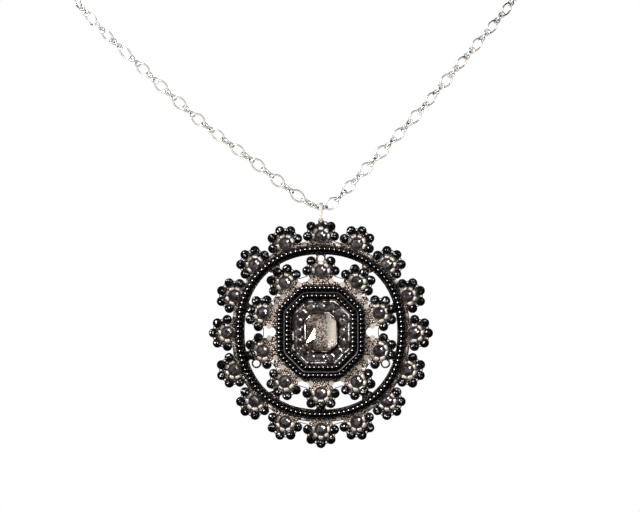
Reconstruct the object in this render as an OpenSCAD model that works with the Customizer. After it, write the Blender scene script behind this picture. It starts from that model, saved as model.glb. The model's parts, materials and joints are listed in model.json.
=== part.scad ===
// Rhinestone necklace: a round filigree pendant with beads and stones, on a long-and-short chain.
// The necklace hangs as worn. X is to the wearer's left, Y points from the pendant to the nape,
// Z is up, and the origin is the clasp at the nape, where the loop hangs on the neck.

/* [Chain] */
// Diameter of the tube that holds the chain's links
chain_d = 2.0; // [1.8:0.1:2.4]
// Diameter of that tube where it passes through the bail
chain_bail_d = 1.6; // [1.4:0.1:1.6]

/* [Clasp] */
// Length of the clasp's barrel
clasp_len = 9; // [8:0.5:10]
// Diameter of the clasp's barrel
clasp_d = 3.4; // [3:0.1:4]

/* [Bail] */
// Mean radius of the bail's round top, about the chain
bail_top_r = 1.18; // [1.15:0.01:1.3]
// Mean radius of the bail's bottom, in the eyelet
bail_foot_r = 0.8; // [0.78:0.01:0.85]
// Distance from the chain's axis down to the eyelet's axis
bail_drop = 3.5; // [3.4:0.1:4]
// Width of the bail's strap at the top
bail_w = 1.0; // [0.8:0.1:1.2]
// Width of the bail's strap at the bottom
bail_foot_w = 0.36; // [0.3:0.02:0.4]
// Thickness of the bail's strap
bail_t = 0.34; // [0.3:0.02:0.34]

/* [Filigree plate] */
// Thickness of the plate
plate_t = 0.8; // [0.7:0.1:0.9]
// Radius of the lobe behind each petal's stone
lobe_r = 3.5; // [3.4:0.05:3.55]
// Radius of the round seat behind each petal bead
seat_r = 1.1; // [1.05:0.05:1.15]
// Width of the raised wire round each lobe
lobe_wire_w = 0.25; // [0.2:0.05:0.25]
// Height of the raised wire above the plate
lobe_wire_h = 0.2; // [0.15:0.05:0.25]
// Radius of a petal's stone cup at its rim
cup_r = 1.65; // [1.6:0.05:1.7]
// Radius of a petal's stone cup at the plate's back, inside the lobe
cup_foot_r = 2.3; // [2.2:0.05:2.4]
// Height of a stone cup's rim above the plate's back
cup_h = 1.9; // [1.8:0.05:2]
// Outer radius of the three loops that have no bead
loop_r = 1.3; // [1.25:0.05:1.35]
// Radius of the hole through those loops
loop_hole_r = 0.85; // [0.8:0.05:0.85]
// Radius of the flat granules beside each inner petal's root
granule_r = 0.7; // [0.6:0.05:0.75]
// Radius of the medallion's round base
base_r = 13.9; // [13.7:0.05:14]
// Radius of the fill between two petals that stand across a cut corner of the band
fill_r = 1.3; // [1.1:0.05:1.35]
// Radius of the opening at each side of the band
side_hole_r = 1.25; // [1:0.05:1.3]

/* [Petal rings] */
// Number of petals outside the ring
outer_n = 16; // [16:1:16]
// Half width of the oval that the outer petals' stones stand on
outer_a = 24.75; // [24.7:0.05:24.9]
// Half height of that oval
outer_b = 25.55; // [25.5:0.05:25.7]
// How far that oval's middle lies below the ring's
outer_drop = 0.2; // [0:0.05:0.2]
// Number of petals of the medallion
inner_n = 10; // [10:1:10]
// Radius of the circle that the medallion's petal stones stand on
inner_r = 16.2; // [16.1:0.05:16.25]

/* [Petal beads] */
// Diameter of a petal bead
bead_d = 2.54; // [2.4:0.02:2.54]
// Diameter of the hole through a petal bead
bead_hole_d = 0.7; // [0.6:0.05:0.8]
// Diameter of the beading thread
thread_d = 0.3; // [0.25:0.05:0.35]

/* [Stones] */
// Diameter of a petal stone
petal_stone_d = 2.65; // [2.5:0.05:2.65]
// Diameter of a pave stone
pave_stone_d = 2.36; // [2.3:0.02:2.36]
// Number of pave stones
pave_n = 16; // [16:1:16]
// Width of the centre stone
centre_w = 7.9; // [7.8:0.05:7.95]
// Height of the centre stone
centre_h = 9.8; // [9.6:0.05:9.85]

/* [Seed beads] */
// Diameter of the outer ring's seed beads
ring_seed_d = 2.1; // [2:0.05:2.15]
// Half width of the ring of seed beads, at the holes
ring_a = 21.6; // [21.55:0.05:21.7]
// Half height of the ring of seed beads, at the holes
ring_b = 21.9; // [21.85:0.05:22]
// Squareness of the ring of seed beads, 2 is an oval
ring_pow = 2.2; // [2.15:0.05:2.25]
// Diameter of the octagon band's seed beads
band_seed_d = 2.04; // [1.9:0.02:2.04]
// Distance between the band's two rows of seed beads
band_gap = 2.12; // [2.12:0.02:2.16]

/* [Hidden] */

// Clearance between two pieces that rest on each other
gap = 0.1;

// Chain route, clockwise from the clasp as seen by a viewer in front: right side, bail, left side
chain_right = [
    [7.4, 0, 0], [14, -0.8, 0], [28, -4.5, -0.2], [43, -13, -1], [55.5, -27, -2.5], [63.5, -43, -5],
    [66.5, -60, -9], [64.5, -76, -15], [58.5, -89, -24.5], [49.6, -97, -36.8], [37.5, -100, -51.2],
    [25.4, -102, -65.4], [12.4, -103.5, -79.2], [4.4, -104, -87.6]
];
chain_low = [0, -104, -90];
chain_left = [
    [-6.2, -104, -86.9], [-16.9, -103.5, -78.6], [-32.5, -102, -66.7], [-48.2, -100, -52.3],
    [-62.1, -96.5, -38.7], [-70.5, -88, -26.5], [-75, -75, -16.5], [-75.5, -59, -9.5],
    [-71, -43, -5.5], [-61, -27, -2.5], [-46.5, -13, -1], [-29, -4.5, -0.2], [-14, -0.8, 0],
    [-7.4, 0, 0]
];
chain_route = concat(chain_right, [chain_low], chain_left);
chain_steps = 2;
chain_sides = 8;

// Pendant's own frame: X right, Y up, Z towards the viewer, origin at the plate's back behind
// the middle of the ring
pendant_drop = 33;
eyelet_y = pendant_drop - bail_drop;
eyelet_h = 0.92;
eyelet_hole_r = 0.42;
eyelet_r = 0.74;
eyelet_t = 0.66;

// Petal bead places: angle from outward and distance from the petal's stone
petal_bead_angles = [-90, -45, 0, 45, 90];
outer_bead_r = [3.55, 3.72, 3.68, 3.72, 3.55];
inner_bead_r = [3.7, 3.72, 3.3, 3.72, 3.7];
// Beads that are missing, counted clockwise from the top petal's first bead
outer_missing = [2];
inner_missing = [2, 18, 36];

bead_r = bead_d / 2;
bead_z = plate_t + gap + bead_r;
petal_girdle_z = cup_h - 0.1;
cup_hole_r = petal_stone_d / 2 + gap;
cup_floor = 0.5;

ring_z = plate_t + gap + ring_seed_d / 2;
ring_base_in = 1.35;
ring_base_out = 1.95;
channel_half = ring_seed_d / 2 + gap;

// Core of the rounded octagon: every row and plate of the band is a parallel of it
core_w = 7.5;
core_h = 8.25;
core_cut_x = 3.8;
core_cut_y = 3.8;
band_in_r = 1.2;
band_out_r = band_in_r + band_gap;
band_out_z = plate_t + gap + band_seed_d / 2;
setting_foot_t = 0.5;
band_in_z = plate_t + gap + setting_foot_t + gap + band_seed_d / 2;

setting_top = 2.4;
pave_flat_x = 1.35;
pave_flat_y = 2.35;
pave_corner_r = 4.4;
pave_girdle_z = 2.35;
bezel_t = 0.25;
bezel_top = 3.2;
centre_cut = 2.0;
centre_girdle_z = 3.0;

round_fn = 48;

silver = [0.8, 0.78, 0.76];
black = [0.05, 0.05, 0.06];
smoke = [0.33, 0.29, 0.31];
champagne = [0.72, 0.67, 0.6];

function unit(v) = v / norm(v);
function pick(v, i) = is_list(v) ? v[i] : v;
function mix(a, b, t) = a + (b - a) * t;
function listed(k, list) = len([for (m = list) if (m == k) m]) > 0;

// Catmull-Rom curve through the route's points
function spline_point(p, i, t) =
    let (
        last = len(p) - 1,
        a = p[max(i - 1, 0)],
        b = p[i],
        c = p[min(i + 1, last)],
        d = p[min(i + 2, last)]
    )
    0.5 * (2 * b + (c - a) * t + (2 * a - 5 * b + 4 * c - d) * t * t
        + (3 * b - a - 3 * c + d) * t * t * t);
function spline(p, steps) = concat(
    [for (i = [0:len(p) - 2]) for (s = [0:steps - 1]) spline_point(p, i, s / steps)],
    [p[len(p) - 1]]
);

function tangent(path, i, closed) =
    let (n = len(path))
    closed ? unit(path[(i + 1) % n] - path[(i + n - 1) % n])
           : unit(path[min(i + 1, n - 1)] - path[max(i - 1, 0)]);

// A bar swept along a path. Its section is an ellipse, across half wide in the plane that is
// square to up, and high half wide along up.
module sweep(path, across, high, sides, up, closed = true) {
    n = len(path);
    points = [
        for (i = [0:n - 1])
            let (
                t = tangent(path, i, closed),
                s = unit(cross(t, up)),
                u = cross(s, t)
            )
            for (j = [0:sides - 1])
                path[i] + pick(across, i) * cos(360 * j / sides) * s
                    + pick(high, i) * sin(360 * j / sides) * u
    ];
    rings = closed ? n : n - 1;
    walls = [
        for (i = [0:rings - 1]) for (j = [0:sides - 1])
            let (k = (i + 1) % n, m = (j + 1) % sides)
            each [
                [i * sides + j, i * sides + m, k * sides + m],
                [i * sides + j, k * sides + m, k * sides + j]
            ]
    ];
    caps = closed ? [] : [
        [for (j = [sides - 1:-1:0]) j],
        [for (j = [0:sides - 1]) (n - 1) * sides + j]
    ];
    polyhedron(points, concat(walls, caps));
}

// The pendant is drawn in its own frame and stood up behind the chain's lowest point
module hang() {
    translate([chain_low[0], chain_low[1] + eyelet_h, chain_low[2] - pendant_drop])
        rotate([90, 0, 0]) children();
}

// Direction clockwise from the top, as a unit vector
function bearing(a) = [sin(a), cos(a)];
function outer_stone(i) =
    let (a = 360 * i / outer_n)
    [outer_a * sin(a), outer_b * cos(a) - outer_drop];
function inner_stone(i) = inner_r * bearing(360 * i / inner_n);
function turn_of(p) = atan2(p[0], p[1]);

// Bead number k of a ring of petals: its place and the way its hole points, clockwise
function petal_bead(stones, radii, k) =
    let (
        p = stones[floor(k / 5) % len(stones)],
        a = turn_of(p) + petal_bead_angles[k % 5]
    )
    [p + radii[k % 5] * bearing(a), bearing(a + 90)];

outer_stones = [for (i = [0:outer_n - 1]) outer_stone(i)];
inner_stones = [for (i = [0:inner_n - 1]) inner_stone(i)];

// Place on the squarish ring of seed beads at an angle from the top
function ring_radius(a, grow = 0) =
    pow(
        pow(abs(sin(a)) / (ring_a + grow), ring_pow) + pow(abs(cos(a)) / (ring_b + grow), ring_pow),
        -1 / ring_pow
    );
function ring_point(a, grow = 0) = ring_radius(a, grow) * bearing(a);

// Rounded octagon at a distance r outside the core
core_turn = atan2(core_cut_x, core_cut_y);
core_turns = [
    0, core_turn, 90, 180 - core_turn, 180, 180 + core_turn, 270, 360 - core_turn, 360
];
core_points = [
    [core_w, core_h - core_cut_y], [core_w - core_cut_x, core_h],
    [core_cut_x - core_w, core_h], [-core_w, core_h - core_cut_y],
    [-core_w, core_cut_y - core_h], [core_cut_x - core_w, -core_h],
    [core_w - core_cut_x, -core_h], [core_w, core_cut_y - core_h]
];
function octagon(r, steps = 3) = [
    for (k = [0:7]) for (s = [0:steps])
        let (a = mix(core_turns[k], core_turns[k + 1], s / steps))
        core_points[k] + r * [cos(a), sin(a)]
];

// Place at a distance s along the pave stones' rounded rectangle, from the top middle
pave_quarter = PI * pave_corner_r / 2;
pave_half = 2 * pave_quarter + 2 * pave_flat_x + 2 * pave_flat_y;
function pave_right(s) =
    let (
        s1 = pave_flat_x,
        s2 = s1 + pave_quarter,
        s3 = s2 + 2 * pave_flat_y,
        s4 = s3 + pave_quarter,
        to_deg = 180 / PI / pave_corner_r
    )
    s < s1 ? [s, pave_flat_y + pave_corner_r]
    : s < s2 ? [pave_flat_x, pave_flat_y] + pave_corner_r * bearing((s - s1) * to_deg)
    : s < s3 ? [pave_flat_x + pave_corner_r, pave_flat_y - (s - s2)]
    : s < s4 ? [pave_flat_x, -pave_flat_y] + pave_corner_r * bearing(90 + (s - s3) * to_deg)
    : [pave_flat_x - (s - s4), -pave_flat_y - pave_corner_r];
function pave_point(s) =
    s <= pave_half ? pave_right(s)
    : let (p = pave_right(2 * pave_half - s)) [-p[0], p[1]];
pave_points = [for (i = [0:pave_n - 1]) pave_point(i * 2 * pave_half / pave_n)];

// Octagon with straight cut corners, for the emerald-cut stone and its bezel
function cut_rect(w, h, c) = [
    [w - c, h], [w, h - c], [w, c - h], [w - c, -h], [c - w, -h], [-w, c - h], [-w, h - c],
    [c - w, h]
];

function lifted(points, z) = [for (p = points) [p[0], p[1], z]];

// Round stone: table, crown of 24 facets, girdle, pointed pavilion. Its girdle's top is at z = 0.
module round_stone(d) {
    n = 8;
    r = d / 2;
    table_r = 0.56 * r;
    crown = 0.38 * r;
    girdle = 0.08 * r;
    depth = 0.75 * r;
    table = [for (i = [0:n - 1]) [table_r * cos(i * 45), table_r * sin(i * 45), crown]];
    upper = [for (i = [0:2 * n - 1]) [r * cos(i * 22.5), r * sin(i * 22.5), 0]];
    lower = [for (p = upper) p - [0, 0, girdle]];
    tip = [[0, 0, -girdle - depth]];
    u0 = n;
    l0 = 3 * n;
    tip0 = 5 * n;
    faces = concat(
        [[for (i = [n - 1:-1:0]) i]],
        [for (i = [0:n - 1]) each [
            [i, u0 + 2 * i + 1, u0 + 2 * i],
            [i, (i + 1) % n, u0 + 2 * i + 1],
            [(i + 1) % n, u0 + (2 * i + 2) % (2 * n), u0 + 2 * i + 1]
        ]],
        [for (i = [0:2 * n - 1]) let (j = (i + 1) % (2 * n)) each [
            [u0 + i, u0 + j, l0 + j],
            [u0 + i, l0 + j, l0 + i],
            [l0 + i, l0 + j, tip0]
        ]]
    );
    polyhedron(concat(table, upper, lower, tip), faces);
}

// Step-cut stone: a stack of octagons from the keel to the table
module step_stone(w, h, cut) {
    levels = [[0.1, -2.0], [0.62, -1.1], [1, -0.12], [1, 0], [0.8, 0.5], [0.62, 0.8]];
    n = 8;
    last = len(levels) - 1;
    points = [
        for (l = levels)
            each lifted(cut_rect(w / 2 * l[0], h / 2 - w / 2 * (1 - l[0]), cut * l[0]), l[1])
    ];
    faces = concat(
        [[for (j = [0:n - 1]) j]],
        [[for (j = [n - 1:-1:0]) last * n + j]],
        [for (i = [0:last - 1]) for (j = [0:n - 1]) let (m = (j + 1) % n) each [
            [i * n + j, (i + 1) * n + j, (i + 1) * n + m],
            [i * n + j, (i + 1) * n + m, i * n + m]
        ]]
    );
    polyhedron(points, [for (f = faces) [for (i = [len(f) - 1:-1:0]) f[i]]]);
}

// A round bead turned about its own hole, which points along way
module drilled_bead(place, way) {
    translate([place[0], place[1], bead_z])
        rotate([0, 90, atan2(way[1], way[0])])
        rotate_extrude($fn = round_fn)
        intersection() {
            circle(bead_r, $fn = round_fn);
            translate([bead_hole_d / 2, -bead_r]) square([bead_r, 2 * bead_r]);
        }
}

module petal_beads(stones, radii, missing) {
    for (k = [0:5 * len(stones) - 1])
        if (!listed(k, missing))
            let (b = petal_bead(stones, radii, k))
                drilled_bead(b[0], b[1]);
}

// Thread through the beads number first to last: in and out of each hole, a little clear of it
module thread(stones, radii, first, last) {
    reach = bead_r + 0.12;
    path = [
        for (k = [first:last])
            let (b = petal_bead(stones, radii, k % (5 * len(stones))))
            each lifted([b[0] - reach * b[1], b[0] + reach * b[1]], bead_z)
    ];
    sweep(path, thread_d / 2, thread_d / 2, 5, [0, 0, 1], closed = false);
}

// One petal's lobe, raised wire and stone cup, with its stone at the origin
module petal_metal() {
    wire_r = lobe_r - 0.9;
    cylinder(r = lobe_r, h = plate_t, $fn = round_fn);
    difference() {
        cylinder(r = wire_r, h = plate_t + lobe_wire_h, $fn = round_fn);
        translate([0, 0, plate_t]) cylinder(r = wire_r - lobe_wire_w, h = 1, $fn = round_fn);
    }
    cylinder(r1 = cup_foot_r, r2 = cup_r, h = cup_h, $fn = round_fn);
}

// A disc behind each petal bead, and one of another radius where the bead is missing
module bead_seats(stones, radii, missing, missing_r) {
    for (k = [0:5 * len(stones) - 1])
        let (r = listed(k, missing) ? missing_r : seat_r)
            if (r > 0)
                translate(concat(petal_bead(stones, radii, k)[0], 0))
                    cylinder(r = r, h = plate_t, $fn = round_fn);
}

module stone_cups(stones) {
    for (p = stones)
        translate([p[0], p[1], cup_floor])
            cylinder(r = cup_hole_r, h = cup_h, $fn = round_fn);
}

module at_petals(stones) {
    for (p = stones)
        translate([p[0], p[1], 0]) rotate([0, 0, -turn_of(p)]) children();
}

// Flat band along the ring of seed beads, from inside its line to outside it
module ring_band(inside, outside, height) {
    facets = 96;
    linear_extrude(height)
        difference() {
            polygon([for (i = [0:facets - 1]) ring_point(360 * i / facets, outside)]);
            polygon([for (i = [0:facets - 1]) ring_point(360 * i / facets, -inside)]);
        }
}

// Root of an inner petal, from under the seed-bead band to its lobe, with a granule each side,
// and the tab that joins its outward seat to the ring
module petal_root() {
    root_w = 2.6;
    granule_turn = 11.5;
    granule_reach = 13.8;
    tab_in = inner_bead_r[2] + 0.2;
    tab_out = ring_b - inner_r;
    linear_extrude(plate_t)
        polygon([[-root_w, -6], [root_w, -6], [root_w, 0], [-root_w, 0]]);
    for (side = [-1, 1])
        translate([
            granule_reach * sin(side * granule_turn), granule_reach * cos(granule_turn) - inner_r, 0
        ])
            cylinder(r = granule_r, h = plate_t + 0.25, $fn = round_fn);
    linear_extrude(plate_t)
        polygon([[-0.9, tab_in], [0.9, tab_in], [2.4, tab_out], [-2.4, tab_out]]);
}

// Round base of the medallion. It bulges between the petals across the band's cut corners, and
// is pierced at the band's two sides.
module medallion_base() {
    side_hole_x = 13.2;
    difference() {
        union() {
            cylinder(r = base_r, h = plate_t, $fn = 2 * round_fn);
            for (k = [1, 3, 6, 8])
                translate(concat(base_r * bearing((k + 0.5) * 360 / inner_n), 0))
                    cylinder(r = fill_r, h = plate_t, $fn = round_fn);
        }
        for (side = [-1, 1])
            translate([side * side_hole_x, 0, -1]) cylinder(r = side_hole_r, h = 3, $fn = round_fn);
    }
}

// Eyelet for the bail at the top petal, on a short neck, with a small open ring beside it
module eyelet_metal() {
    neck_w = 1.1;
    side_ring = [1.2, 28.75];
    translate([0, eyelet_y, eyelet_h - eyelet_t / 2])
        cylinder(r = eyelet_r, h = eyelet_t, $fn = round_fn);
    translate([-neck_w / 2, eyelet_y - 1.4, 0])
        cube([neck_w, 0.9, eyelet_h + eyelet_t / 2]);
    translate(concat(side_ring, 0))
        difference() {
            cylinder(r = 0.62, h = plate_t, $fn = round_fn);
            translate([0, 0, -1]) cylinder(r = 0.28, h = 3, $fn = round_fn);
        }
}

module empty_loops() {
    for (k = inner_missing)
        translate(concat(petal_bead(inner_stones, inner_bead_r, k)[0], -1))
            cylinder(r = loop_hole_r, h = 4, $fn = round_fn);
}

module chain() {
    path = spline(chain_route, chain_steps);
    mid = len(chain_right) * chain_steps;
    radii = [
        for (i = [0:len(path) - 1]) (abs(i - mid) < 2 ? chain_bail_d : chain_d) / 2
    ];
    color(silver) sweep(path, radii, radii, chain_sides, [0, 0, 1], closed = false);
}

module clasp() {
    eye_r = 0.95;
    eye_wire = 0.35;
    color(silver) {
        rotate([0, 90, 0]) cylinder(d = clasp_d, h = clasp_len, center = true, $fn = round_fn);
        for (side = [-1, 1]) {
            translate([side * clasp_len / 2, 0, 0])
                rotate([0, 90, 0]) cylinder(d = 2.2, h = 1, center = true, $fn = round_fn);
            translate([side * (clasp_len / 2 + 0.3 + eye_r), 0, 0])
                rotate([90, 0, 0])
                rotate_extrude($fn = round_fn) translate([eye_r, 0]) circle(eye_wire, $fn = 24);
        }
    }
}

// Strap loop about the chain, narrowing to a wire that hangs in the eyelet
module bail() {
    foot_z = bail_foot_r - bail_drop;
    lean = asin((bail_top_r - bail_foot_r) / -foot_z);
    top = [for (i = [0:12]) let (a = mix(-lean, 180 + lean, i / 12))
        [0, bail_top_r * cos(a), bail_top_r * sin(a)]];
    foot = [for (i = [0:8]) let (a = mix(180 + lean, 360 - lean, i / 8))
        [0, bail_foot_r * cos(a), foot_z + bail_foot_r * sin(a)]];
    path = concat(top, foot);
    widths = [
        for (p = path) mix(bail_foot_w, bail_w, min(1, (p[2] + bail_drop) / bail_drop)) / 2
    ];
    color(silver) translate(chain_low)
        sweep(path, bail_t / 2, widths, 8, [1, 0, 0]);
}

module filigree_plate() {
    color(silver) hang()
        difference() {
            union() {
                ring_band(ring_base_in, ring_base_out, plate_t);
                medallion_base();
                at_petals(outer_stones) petal_metal();
                at_petals(inner_stones) petal_metal();
                bead_seats(outer_stones, outer_bead_r, outer_missing, 0);
                bead_seats(inner_stones, inner_bead_r, inner_missing, loop_r);
                at_petals(inner_stones) petal_root();
                eyelet_metal();
            }
            stone_cups(outer_stones);
            stone_cups(inner_stones);
            empty_loops();
            translate([0, 0, plate_t]) ring_band(channel_half, channel_half, 3);
            translate([0, eyelet_y, -1]) cylinder(r = eyelet_hole_r, h = 4, $fn = round_fn);
        }
}

// Stepped setting: a thin foot under the inner row of seed beads, and a raised middle with a
// drilled seat for each pave stone and a bezel for the centre stone
module centre_setting() {
    foot_z = plate_t + gap;
    seat_depth = 1.1;
    color(silver) hang()
        difference() {
            union() {
                translate([0, 0, foot_z])
                    linear_extrude(setting_foot_t) polygon(octagon(band_out_r - band_seed_d / 2 - gap));
                translate([0, 0, foot_z])
                    linear_extrude(setting_top - foot_z)
                        polygon(octagon(band_in_r - band_seed_d / 2 - gap));
                translate([0, 0, foot_z])
                    linear_extrude(bezel_top - foot_z)
                        polygon(cut_rect(centre_w / 2 + gap + bezel_t, centre_h / 2 + gap + bezel_t,
                            centre_cut + 0.1));
            }
            for (p = pave_points)
                translate([p[0], p[1], pave_girdle_z - seat_depth])
                    cylinder(d = pave_stone_d + 2 * gap, h = 3, $fn = round_fn);
            translate([0, 0, foot_z - 1])
                linear_extrude(6)
                    polygon(cut_rect(centre_w / 2 + gap, centre_h / 2 + gap, centre_cut));
        }
}

module centre_stone() {
    color(champagne) hang()
        translate([0, 0, centre_girdle_z]) step_stone(centre_w, centre_h, centre_cut);
}

module pave_stones() {
    color(smoke) hang()
        for (p = pave_points) translate([p[0], p[1], pave_girdle_z]) round_stone(pave_stone_d);
}

module petal_stones(stones) {
    for (p = stones)
        translate([p[0], p[1], petal_girdle_z]) rotate([0, 0, -turn_of(p)])
            round_stone(petal_stone_d);
}

module outer_petal_stones() { color(smoke) hang() petal_stones(outer_stones); }
module inner_petal_stones() { color(smoke) hang() petal_stones(inner_stones); }

module outer_petal_beads() {
    color(black) hang() petal_beads(outer_stones, outer_bead_r, outer_missing);
}

module inner_petal_beads() {
    color(black) hang() petal_beads(inner_stones, inner_bead_r, inner_missing);
}

// Each run of thread goes from the bead after one missing bead to the bead before the next
module outer_bead_thread() {
    color(black) hang() thread(outer_stones, outer_bead_r, 3, 5 * outer_n + 1);
}

module inner_bead_thread() {
    color(black) hang()
        for (i = [0:2])
            thread(inner_stones, inner_bead_r, inner_missing[i] + 1,
                (i == 2 ? 5 * inner_n + inner_missing[0] : inner_missing[i + 1]) - 1);
}

module ring_seed_beads() {
    rings = 64;
    path = [for (i = [0:rings - 1]) concat(ring_point(360 * i / rings), ring_z)];
    color(black) hang() sweep(path, ring_seed_d / 2, ring_seed_d / 2, 10, [0, 0, 1]);
}

module band_seed_outer_row() {
    color(black) hang()
        sweep(lifted(octagon(band_out_r), band_out_z), band_seed_d / 2, band_seed_d / 2, 10, [0, 0, 1]);
}

module band_seed_inner_row() {
    color(black) hang()
        sweep(lifted(octagon(band_in_r), band_in_z), band_seed_d / 2, band_seed_d / 2, 10, [0, 0, 1]);
}

// Fine wire that lies in the groove between the band's two rows
module band_groove_wire() {
    wire_d = 0.3;
    color(silver) hang()
        sweep(lifted(octagon(mix(band_in_r, band_out_r, 0.5)), band_in_z + 0.75), wire_d / 2,
            wire_d / 2, 5, [0, 0, 1]);
}

chain();
clasp();
bail();
filigree_plate();
centre_setting();
centre_stone();
pave_stones();
outer_petal_stones();
inner_petal_stones();
outer_petal_beads();
inner_petal_beads();
outer_bead_thread();
inner_bead_thread();
ring_seed_beads();
band_seed_outer_row();
band_seed_inner_row();
band_groove_wire();
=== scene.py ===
# %% [markdown]
# # A beaded rhinestone necklace
# The pendant is a round cast plate. It carries foiled stones in cups, round black beads strung
# on thread, and rows of seed beads sewn down as a ring and as an octagon band. It hangs on a
# long-and-short chain by a strap bail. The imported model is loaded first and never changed:
# what is made here either dresses one of its nodes or stands in for one.

import json
from math import acos, asin, atan2, copysign, cos, degrees, pi, radians, sin, sqrt

import bmesh
import bpy
import numpy as np
from mathutils import Matrix, Vector

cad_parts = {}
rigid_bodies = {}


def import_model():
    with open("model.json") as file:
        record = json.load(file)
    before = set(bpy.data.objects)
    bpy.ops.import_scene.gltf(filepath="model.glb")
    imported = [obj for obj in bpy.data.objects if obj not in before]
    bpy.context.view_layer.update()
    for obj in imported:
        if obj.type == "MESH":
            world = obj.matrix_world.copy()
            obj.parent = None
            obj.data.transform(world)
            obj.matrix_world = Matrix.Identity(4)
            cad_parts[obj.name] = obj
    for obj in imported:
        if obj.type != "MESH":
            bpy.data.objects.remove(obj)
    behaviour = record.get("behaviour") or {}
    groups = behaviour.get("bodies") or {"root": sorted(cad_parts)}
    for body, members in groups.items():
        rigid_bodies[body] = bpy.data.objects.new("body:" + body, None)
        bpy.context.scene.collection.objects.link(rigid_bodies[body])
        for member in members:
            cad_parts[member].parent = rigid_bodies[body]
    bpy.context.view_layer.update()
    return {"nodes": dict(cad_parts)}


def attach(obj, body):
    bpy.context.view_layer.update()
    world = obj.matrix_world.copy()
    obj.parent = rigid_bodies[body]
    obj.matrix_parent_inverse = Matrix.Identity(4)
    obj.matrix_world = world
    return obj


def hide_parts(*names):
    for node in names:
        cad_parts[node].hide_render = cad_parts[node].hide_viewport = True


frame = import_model()

# %% [markdown]
# Sizes are easier to read in millimetres, and Blender works in metres. The pendant's own frame
# has X to the right, Y up and Z towards the viewer, from the plate's back behind the middle of
# the ring. One matrix hangs what is drawn there under the chain's lowest point.

# %% Units and the pendant's frame
MM = 0.001
CHAIN_LOW = Vector((0, -104, -90))
PENDANT_DROP = 33
EYELET_HEIGHT = 0.92
HANG = (
    Matrix.Scale(MM, 4)
    @ Matrix.Translation(CHAIN_LOW + Vector((0, EYELET_HEIGHT, -PENDANT_DROP)))
    @ Matrix.Rotation(radians(90), 4, "X")
)
print("ring's middle, in mm:", [round(c / MM, 2) for c in HANG.translation])

# %% [markdown]
# The photograph was taken from straight in front, with a long lens: the ring is as round as the
# beads allow and nothing leans. A 150 mm lens gives that flat view. The frame is 640 by 512, and
# it is 169.6 mm wide at the pendant.

# %% Camera
VIEW_WIDTH = 169.6 * MM
VIEW_MIDDLE = Vector((-0.25, -104, -102.85)) * MM
camera_data = bpy.data.cameras.new("camera")
camera_data.lens = 150
camera_data.clip_start = 0.05
camera = bpy.data.objects.new("camera", camera_data)
distance = VIEW_WIDTH * camera_data.lens / camera_data.sensor_width
camera.location = VIEW_MIDDLE - Vector((0, distance, 0))
camera.rotation_euler = (radians(90), 0, 0)
bpy.context.scene.collection.objects.link(camera)
bpy.context.scene.camera = camera
print("camera stands", round(distance, 3), "m in front")

# %% [markdown]
# Polished metal and glass show what is round them, so black beads stay black only where most of
# the room is dark. The camera sees a white ground. Reflections see a dark room with a faint
# glow in front on the left. A broad key at 45 degrees on the left puts a white point on every
# bead, and a faint fill stands on the right. The other lamps are screened to some pieces: a card
# low on each side for the chain, a soft light for the plate and the round beads, and a strip far
# out on the upper right, almost in the pendant's plane, which the small stones' steep crown
# facets see. A lamp at the lower right fills the centre stone, one behind shows the plate's
# back and the clasp, and one above keeps the floor pale.

# %% One function adds a node
def feed(node, inputs):
    """Set a node's inputs, each to a value, a socket or another node's first output."""
    for name, value in inputs.items():
        socket = next(s for s in node.inputs if s.enabled and name in (s.name, s.identifier))
        if isinstance(value, bpy.types.Node):
            value = next(s for s in value.outputs if s.enabled)
        if isinstance(value, bpy.types.NodeSocket):
            node.id_data.links.new(value, socket)
        else:
            socket.default_value = value


def add_node(tree, kind, inputs=None, **settings):
    """Add a node: first its settings, then its inputs."""
    node = tree.nodes.new(kind)
    for name, value in settings.items():
        setattr(node, name, value)
    feed(node, inputs or {})
    return node


# %% The floor
def linked(name, data):
    """Put a mesh or a light in the scene as an object."""
    thing = bpy.data.objects.new(name, data)
    bpy.context.scene.collection.objects.link(thing)
    return thing


def rgba(code):
    """An sRGB hex colour as linear RGBA."""
    channels = [int(code[i : i + 2], 16) / 255 for i in (0, 2, 4)]
    return [c / 12.92 if c <= 0.04045 else ((c + 0.055) / 1.055) ** 2.4 for c in channels] + [1]


FLOOR_Y, FLOOR_Z, FLOOR_HALF = -0.1, -0.24, 0.6
square = [(-1, -1), (1, -1), (1, 1), (-1, 1)]
floor_mesh = bpy.data.meshes.new("floor")
floor_mesh.from_pydata(
    [(x * FLOOR_HALF, y * FLOOR_HALF + FLOOR_Y, FLOOR_Z) for x, y in square], [], [(0, 1, 2, 3)]
)
floor = linked("floor", floor_mesh)
paper = bpy.data.materials.new("white_paper")
paper.use_nodes = True
shader = paper.node_tree.nodes["Principled BSDF"]
feed(shader, {"Base Color": rgba("ECEBE9"), "Roughness": 0.9})
floor_mesh.materials.append(paper)
floor.visible_glossy = floor.visible_diffuse = False
print("floor", 2 * FLOOR_HALF, "m square")


# %% Lamps
KEY = (-0.64, -0.64, 0.42)
LAMPS = (
    ("key_left", 0.88, KEY, (0.34, 0.34), 10.5),
    ("fill_right", 0.9, (0.5, -0.7, 0.45), (0.5, 0.5), 0.4),
    ("strip_far_right", 0.9, (0.81, -0.14, 0.57), (0.8, 1.2), 34),
    ("card_left", 0.9, (-0.55, -0.8, -0.25), (1.3, 1.3), 8.5),
    ("card_right", 0.9, (0.55, -0.8, -0.45), (1.1, 1.1), 6),
    ("soft_front", 0.9, (0.35, -0.9, 0.3), (0.4, 0.4), 4.2),
    ("low_right", 0.9, (0.6, -0.6, -0.3), (0.4, 0.4), 4),
    ("lamp_behind", 0.9, (0.3, 0.8, 0.45), (0.6, 0.6), 9),
)


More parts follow.
